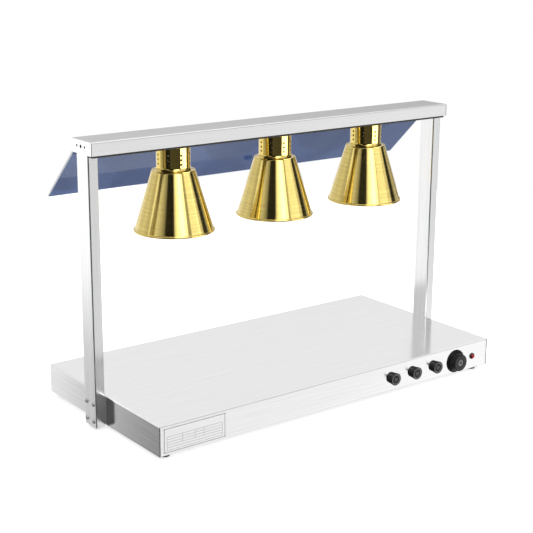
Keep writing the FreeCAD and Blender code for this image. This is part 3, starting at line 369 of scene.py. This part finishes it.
METAL = {"Metallic": 1.0}
FINISHES = {
    "brushed_stainless": lambda n: brushed_sheet(n, (0.84, 0.84, 0.845), 0.12),
    "brushed_post_tube": lambda n: brushed_tube(n, (0.86, 0.86, 0.865), 0.24),
    "galvanised_steel": galvanised,
    "bright_fasteners": lambda n: mottled(n, (0.46, 0.46, 0.47), (0.34, 0.34, 0.35), 0.30, 900.0, 0.00001, METAL),
    "plain_steel": lambda n: mottled(n, (0.66, 0.66, 0.67), (0.52, 0.52, 0.53), 0.32, 700.0, 0.00002, METAL),
    "black_rubber": lambda n: mottled(n, (0.012, 0.012, 0.013), (0.006, 0.006, 0.006), 0.62, 1200.0, 0.00005),
    "silicone_heater": lambda n: woven(n, (0.62, 0.20, 0.09), (0.42, 0.12, 0.05), 350.0, 0.0002, 0.55),
    "glass_fibre_blanket": lambda n: woven(n, (0.88, 0.87, 0.82), (0.66, 0.64, 0.58), 120.0, 0.001, 0.9),
    "cream_ceramic": lambda n: mottled(n, (0.84, 0.80, 0.70), (0.74, 0.69, 0.58), 0.3, 500.0, 0.00004),
    "white_ceramic": lambda n: mottled(n, (0.90, 0.89, 0.86), (0.80, 0.79, 0.75), 0.25, 500.0, 0.00004),
    "copper": lambda n: mottled(n, (0.78, 0.46, 0.31), (0.55, 0.28, 0.18), 0.3, 600.0, 0.00002, METAL),
    "black_plastic": lambda n: mottled(n, (0.034, 0.034, 0.036), (0.022, 0.022, 0.023), 0.45, 1500.0, 0.00004),
    "cream_plastic": lambda n: mottled(n, (0.83, 0.80, 0.71), (0.72, 0.68, 0.58), 0.45, 1100.0, 0.00004),
    "red_lens": red_lens,
    "label_foil": label_foil,
    "black_enamel": lambda n: mottled(n, (0.026, 0.026, 0.027), (0.014, 0.014, 0.015), 0.42, 1800.0, 0.00004),
    "polished_gold": lambda n: spun_gold(n, (0.72, 0.55, 0.16), 0.09, 0.5, 0.000001),
    "brushed_gold": lambda n: spun_gold(n, (0.76, 0.60, 0.20), 0.16, 1.0, 0.000003),
    "bulb_glass": bulb_glass,
    "cable_sheath": lambda n: mottled(n, (0.13, 0.13, 0.13), (0.07, 0.07, 0.07), 0.55, 900.0, 0.00006),
    "smoked_acrylic": smoked_acrylic,
}


def dress_nodes():
    """Give every CAD node the material of its slot, and each knob one of its own."""
    made = {}
    for part in frame["record"]["subparts"]:
        name = part["node"]
        slot = part["material_slot"]
        if "knob" in name:
            finish = knob_plastic(slot + "_" + name, name)
        else:
            if slot not in made:
                made[slot] = FINISHES[slot](slot)
            finish = made[slot]
        mesh = NODES[name].data
        mesh.materials.clear()
        mesh.materials.append(finish)


# ---- studio: soft panels and dark gaps, seen only in reflections ----
STUDIO_TURN = math.radians(39.5)   # the studio's middle line, turned from -Y towards -X
BACK_SECTOR = 0.445                # where the sector behind the object starts, in turns from the middle line
BAND_EDGE = 0.4                    # half the soft edge between two bands, in degrees
RISE = (0.14, 0.20)                # upward share of a direction, over which the rising bands become the high ones
FALL = (-0.26, -0.33)              # the same for the level bands and the falling ones

# The sector behind the object: (height on a scale where 0.5 is level and 1 is straight up, brightness).
BACKDROP = [(0.5, 0.40), (0.575, 0.46), (0.60, 0.75), (0.63, 0.96), (0.85, 0.96), (0.95, 0.4)]

# Each band is (degrees from, degrees to, brightness from, brightness to) round the studio's middle line.
HIGH_BANDS = [
    (-180, -150, 0.80, 0.75), (-150, -130, 0.65, 0.60), (-130, -117, 0.35, 0.25), (-117, -101, 0.01, 0.01),
    (-101, -88, 1.0, 1.3), (-88, -55, 0.40, 0.40), (-55, -49, 0.6, 0.6), (-49, -39, 2.4, 3.4),
    (-39, -25, 4.4, 3.6), (-25, -7, 3.0, 1.0), (-7, 22, 0.0, 0.01), (22, 44, 0.25, 1.05),
    (44, 77, 1.10, 1.55), (77, 100, 0.50, 0.75), (100, 135, 0.85, 0.90), (135, 180, 0.85, 0.80)]
RISING_BANDS = [
    (-180, -120, 0.70, 0.60), (-120, -101, 0.02, 0.02), (-101, -57, 0.55, 0.45), (-57, 57, 0.0, 0.0),
    (57, 104, 1.0, 1.0), (104, 180, 0.80, 0.75)]
LEVEL_BANDS = [
    (-180, -172, 1.0, 0.65), (-172, -126, 0.65, 0.60), (-126, -104, 0.15, 0.15), (-104, -78, 0.99, 0.94),
    (-78, -54, 0.92, 0.90), (-54, 14, 0.08, 0.10), (14, 45, 0.02, 0.02), (45, 58, 0.25, 0.25),
    (58, 68, 0.02, 0.02), (68, 90, 0.55, 0.75), (90, 138, 1.35, 1.35), (138, 180, 1.1, 1.0)]
FALLING_BANDS = [
    (-180, -156, 1.05, 0.85), (-156, -105, 0.62, 0.40), (-105, -84, 1.35, 1.30), (-84, -60, 1.10, 0.95),
    (-60, 47, 0.08, 0.08), (47, 102, 0.8, 0.8), (102, 108.5, 0.16, 0.22), (108.5, 111, 0.22, 0.46),
    (111, 114, 0.46, 1.02), (114, 138, 0.98, 0.98), (138, 180, 1.0, 0.95)]


def turns(degrees):
    """Place on a ramp of an angle from the studio's middle line, to the left as the camera sees it."""
    return degrees / 360.0 + 0.5


def banded(tree, factor, bands):
    """Ramp of bands with sharp edges."""
    stops = []
    for start, end, first, last in bands:
        stops.append((turns(start + BAND_EDGE), first))
        stops.append((turns(end - BAND_EDGE), last))
    return ramp(tree, factor, stops)


def make_world():
    """The studio's brightness by direction.  The camera itself sees plain white."""
    world = bpy.data.worlds.new("studio")
    bpy.context.scene.world = world
    world.use_nodes = True
    tree = world.node_tree
    way = xyz(tree, node(tree, "ShaderNodeTexCoord").outputs["Generated"])
    cos_turn = math.cos(STUDIO_TURN)
    sin_turn = math.sin(STUDIO_TURN)
    left = maths(tree, "SUBTRACT", maths(tree, "MULTIPLY", way[1], sin_turn),
                 maths(tree, "MULTIPLY", way[0], cos_turn))
    backward = maths(tree, "ADD", maths(tree, "MULTIPLY", way[1], cos_turn),
                     maths(tree, "MULTIPLY", way[0], sin_turn))
    angle = maths(tree, "ARCTAN2", left, maths(tree, "MULTIPLY", backward, -1.0))
    turn = maths(tree, "ADD", maths(tree, "DIVIDE", angle, 2.0 * math.pi), 0.5)
    height = maths(tree, "MULTIPLY_ADD", way[2], 0.5, 0.5)
    off_middle = maths(tree, "ABSOLUTE", maths(tree, "SUBTRACT", turn, 0.5))
    in_back = maths(tree, "GREATER_THAN", off_middle, BACK_SECTOR)
    above = blended(tree, between(tree, way[2], *RISE), banded(tree, turn, RISING_BANDS),
                    banded(tree, turn, HIGH_BANDS))
    sky = blended(tree, in_back, above, ramp(tree, height, BACKDROP))
    ground = blended(tree, between(tree, way[2], *FALL), banded(tree, turn, LEVEL_BANDS),
                     banded(tree, turn, FALLING_BANDS))
    all_round = blended(tree, maths(tree, "GREATER_THAN", way[2], 0.0), ground, sky)
    seen = node(tree, "ShaderNodeLightPath").outputs["Is Camera Ray"]
    tree.links.new(blended(tree, seen, all_round, grey(1.0)), tree.nodes["Background"].inputs["Color"])


def make_floor():
    """A pale round floor that glows a little and shows in no reflection."""
    mesh = bpy.data.meshes.new("floor")
    angles = [2 * math.pi * n / FLOOR_STEPS for n in range(FLOOR_STEPS)]
    rim = [(FLOOR_RADIUS * math.cos(angle), FLOOR_RADIUS * math.sin(angle), 0) for angle in angles]
    mesh.from_pydata(rim, [], [tuple(range(FLOOR_STEPS))])
    floor = bpy.data.objects.new("floor", mesh)
    bpy.context.scene.collection.objects.link(floor)
    made, tree, shader = new_material("floor", {"Roughness": 0.9, "Specular IOR Level": 0.1,
                                                "Emission Color": grey(1.0), "Emission Strength": FLOOR_GLOW})
    paper = stretched_noise(tree, (3.0, 3.0, 3.0))
    drive(tree, shader, base_color=ramp(tree, paper, [(0.3, grey(FLOOR_ALBEDO - 0.01)),
                                                      (0.7, grey(FLOOR_ALBEDO + 0.01))]))
    mesh.materials.append(made)
    floor.visible_glossy = False


# ---- lights ----
GOLD_PARTS = [name for name in NODES if name.startswith(("lamp_neck", "lamp_shade"))]
SHEET_PARTS = ["base_top_cover", "front_panel", "beam_cover", "left_beam_end_cap", "right_beam_end_cap"]

# Each light: name, where it is, what it points at, width, depth, watts, and the parts it reaches, or None for all.
LIGHTS = [
    ("overhead", (0.2, -0.2, 3.0), (0.0, 0.0, 0.0), 4.5, 4.5, 45.0, None),
    ("gold_strip", (2.38, -3.21, -0.08), (0.0, 0.01, 0.6), 3.5, 0.9, 43.0, GOLD_PARTS),
    ("gold_panel", (2.23, -3.56, 1.83), (0.0, 0.0, 0.55), 2.49, 2.2, 19.0, GOLD_PARTS),
    ("camera_side_wall", (-2.86, -3.47, 1.9), (0.0, 0.0, 0.4), 10.0, 7.5, 205.0, SHEET_PARTS),
    ("right_side_wall", (2.86, -3.47, 2.9), (0.0, 0.0, 0.1), 10.0, 5.5, 14.0, ["base_top_cover"]),
]


def area_light(name, at, towards, width, depth, watts, reaches):
    light = bpy.data.lights.new(name, "AREA")
    light.shape = "RECTANGLE"
    light.size = width
    light.size_y = depth
    light.energy = watts
    lamp = bpy.data.objects.new(name, light)
    lamp.location = at
    lamp.rotation_mode = "QUATERNION"
    lamp.rotation_quaternion = (Vector(towards) - Vector(at)).to_track_quat("-Z", "Y")
    bpy.context.scene.collection.objects.link(lamp)
    lamp.visible_camera = False
    if reaches:
        parts = bpy.data.collections.new(name + "_parts")
        for part in reaches:
            parts.objects.link(NODES[part])
        lamp.light_linking.receiver_collection = parts


def make_camera():
    forward = Vector((-math.sin(CAMERA_YAW) * math.cos(CAMERA_PITCH),
                      math.cos(CAMERA_YAW) * math.cos(CAMERA_PITCH), math.sin(CAMERA_PITCH)))
    level = Vector((math.cos(CAMERA_YAW), math.sin(CAMERA_YAW), 0.0))
    upward = level.cross(forward)
    right = math.cos(CAMERA_ROLL) * level + math.sin(CAMERA_ROLL) * upward
    up = math.cos(CAMERA_ROLL) * upward - math.sin(CAMERA_ROLL) * level
    lens = bpy.data.cameras.new("camera")
    lens.lens = LENS_MM
    lens.sensor_width = SENSOR_MM
    camera = bpy.data.objects.new("camera", lens)
    turn = Matrix((right, up, -forward)).transposed().to_4x4()
    camera.matrix_world = Matrix.Translation(CAMERA_AT) @ turn
    bpy.context.scene.collection.objects.link(camera)
    bpy.context.scene.camera = camera


make_camera()
make_world()
make_floor()
for light in LIGHTS:
    area_light(*light)
dress_nodes()
for name in MUTED:
    NODES[name].visible_glossy = False
bpy.context.scene.view_settings.view_transform = "Standard"
